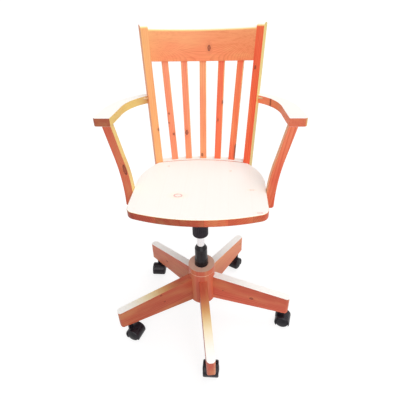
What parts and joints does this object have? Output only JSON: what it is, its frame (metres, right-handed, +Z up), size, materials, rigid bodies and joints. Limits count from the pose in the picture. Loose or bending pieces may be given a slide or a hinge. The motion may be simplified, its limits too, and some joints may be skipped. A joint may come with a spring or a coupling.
{
  "type": "swivel chair",
  "caption": "Wooden bankers swivel chair with a slatted curved back, bent arms on leaning posts, gas lift and a legged base on hooded twin-wheel casters.",
  "frame": {"origin": "on the floor, under the axis of the column", "axes": "+Z up along the column; -Y is the chair's front; +X is to the right of someone looking at the front from -Y"},
  "size_m": [0.6947, 0.7218, 1.0518],
  "materials": {
    "pine": "satin clear lacquer on pine",
    "dowel_wood": "raw beech",
    "black_plastic": "moulded, slightly glossy",
    "black_steel": "black powder coat",
    "chrome": "polished",
    "steel": "zinc plated",
    "caster_plastic": "glossy moulded",
    "wheel_plastic": "moulded nylon"
  },
  "bodies": {
    "base": {"hub": "pine", "hub_liner": "black_plastic", "leg_1": "pine", "leg_2": "pine", "leg_3": "pine", "leg_4": "pine", "leg_5": "pine", "leg_dowels": "dowel_wood", "caster_sockets": "steel", "lift_outer_tube": "black_steel", "lift_guide_bush": "black_plastic", "thrust_bearing": "steel"},
    "lift_spindle": {"piston_rod": "steel", "piston_rod_clip": "steel"},
    "seat_assembly": {"lift_cylinder": "chrome", "seat_plate": "black_steel", "taper_socket": "black_steel", "column_cover": "black_plastic", "lever_pivot_pin": "steel", "seat_panel": "pine", "back_foot_rail": "pine", "stile_left": "pine", "stile_right": "pine", "slat_1": "pine", "slat_2": "pine", "slat_3": "pine", "slat_4": "pine", "slat_5": "pine", "crest_rail": "pine", "arm_left": "pine", "arm_right": "pine", "arm_post_left": "pine", "arm_post_right": "pine", "frame_dowels": "dowel_wood", "seat_plate_screws": "steel", "back_rail_screws": "steel", "arm_post_bolts": "steel"},
    "lever": {"release_lever": "black_steel", "lever_knob": "black_plastic"},
    "lift_valve": {"release_pin": "steel"},
    "caster_1_fork": {"caster_1_hood": "caster_plastic", "caster_1_stem_and_axle": "steel"},
    "caster_1_left": {"caster_1_wheel_left": "wheel_plastic"},
    "caster_1_right": {"caster_1_wheel_right": "wheel_plastic"},
    "caster_2_fork": {"caster_2_hood": "caster_plastic", "caster_2_stem_and_axle": "steel"},
    "caster_2_left": {"caster_2_wheel_left": "wheel_plastic"},
    "caster_2_right": {"caster_2_wheel_right": "wheel_plastic"},
    "caster_3_fork": {"caster_3_hood": "caster_plastic", "caster_3_stem_and_axle": "steel"},
    "caster_3_left": {"caster_3_wheel_left": "wheel_plastic"},
    "caster_3_right": {"caster_3_wheel_right": "wheel_plastic"},
    "caster_4_fork": {"caster_4_hood": "caster_plastic", "caster_4_stem_and_axle": "steel"},
    "caster_4_left": {"caster_4_wheel_left": "wheel_plastic"},
    "caster_4_right": {"caster_4_wheel_right": "wheel_plastic"},
    "caster_5_fork": {"caster_5_hood": "caster_plastic", "caster_5_stem_and_axle": "steel"},
    "caster_5_left": {"caster_5_wheel_left": "wheel_plastic"},
    "caster_5_right": {"caster_5_wheel_right": "wheel_plastic"}
  },
  "joints": [
    {"name": "seat_swivel", "type": "hinge", "parent": "base", "child": "lift_spindle", "pos_m": [0, 0, 0.093], "axis": [0, 0, 1], "continuous": true},
    {"name": "seat_height", "type": "slide", "parent": "lift_spindle", "child": "seat_assembly", "axis": [0, 0, 1], "range_m": [-0.1, 0.025]},
    {"name": "lever_lift", "type": "hinge", "parent": "seat_assembly", "child": "lever", "pos_m": [0.03, 0, 0.5458], "axis": [0, -1, 0], "range_deg": [0, 5], "stiffness_Nm_per_rad": 6, "springref_deg": -2.86},
    {"name": "valve_press", "type": "slide", "parent": "seat_assembly", "child": "lift_valve", "axis": [0, 0, -1], "range_m": [0, 0.0027]},
    {"name": "caster_1_swivel", "type": "hinge", "parent": "base", "child": "caster_1_fork", "pos_m": [0.04553, -0.30462, 0.074], "axis": [0, 0, 1], "continuous": true},
    {"name": "caster_1_roll_left", "type": "hinge", "parent": "caster_1_fork", "child": "caster_1_left", "pos_m": [0.04553, -0.28362, 0.025], "axis": [-1, 0, 0], "continuous": true},
    {"name": "caster_1_roll_right", "type": "hinge", "parent": "caster_1_fork", "child": "caster_1_right", "pos_m": [0.04553, -0.28362, 0.025], "axis": [-1, 0, 0], "continuous": true},
    {"name": "caster_2_swivel", "type": "hinge", "parent": "base", "child": "caster_2_fork", "pos_m": [0.30378, -0.05083, 0.074], "axis": [0, 0, 1], "continuous": true},
    {"name": "caster_2_roll_left", "type": "hinge", "parent": "caster_2_fork", "child": "caster_2_left", "pos_m": [0.32406, -0.05627, 0.025], "axis": [0.2588, 0.9659, 0], "continuous": true},
    {"name": "caster_2_roll_right", "type": "hinge", "parent": "caster_2_fork", "child": "caster_2_right", "pos_m": [0.32406, -0.05627, 0.025], "axis": [0.2588, 0.9659, 0], "continuous": true},
    {"name": "caster_3_swivel", "type": "hinge", "parent": "base", "child": "caster_3_fork", "pos_m": [0.14222, 0.2732, 0.074], "axis": [0, 0, 1], "continuous": true},
    {"name": "caster_3_roll_left", "type": "hinge", "parent": "caster_3_fork", "child": "caster_3_left", "pos_m": [0.13172, 0.25501, 0.025], "axis": [0.866, -0.5, 0], "continuous": true},
    {"name": "caster_3_roll_right", "type": "hinge", "parent": "caster_3_fork", "child": "caster_3_right", "pos_m": [0.13172, 0.25501, 0.025], "axis": [0.866, -0.5, 0], "continuous": true},
    {"name": "caster_4_swivel", "type": "hinge", "parent": "base", "child": "caster_4_fork", "pos_m": [-0.21588, 0.21968, 0.074], "axis": [0, 0, 1], "continuous": true},
    {"name": "caster_4_roll_left", "type": "hinge", "parent": "caster_4_fork", "child": "caster_4_left", "pos_m": [-0.21588, 0.19868, 0.025], "axis": [1, 0, 0], "continuous": true},
    {"name": "caster_4_roll_right", "type": "hinge", "parent": "caster_4_fork", "child": "caster_4_right", "pos_m": [-0.21588, 0.19868, 0.025], "axis": [1, 0, 0], "continuous": true},
    {"name": "caster_5_swivel", "type": "hinge", "parent": "base", "child": "caster_5_fork", "pos_m": [-0.27564, -0.13743, 0.074], "axis": [0, 0, 1], "continuous": true},
    {"name": "caster_5_roll_left", "type": "hinge", "parent": "caster_5_fork", "child": "caster_5_left", "pos_m": [-0.25578, -0.14427, 0.025], "axis": [0.3256, 0.9455, 0], "continuous": true},
    {"name": "caster_5_roll_right", "type": "hinge", "parent": "caster_5_fork", "child": "caster_5_right", "pos_m": [-0.25578, -0.14427, 0.025], "axis": [0.3256, 0.9455, 0], "continuous": true}
  ],
  "couplings": [
    {"joint": "valve_press", "follows": "lever_lift", "m_per_rad": 0.03}
  ]
}
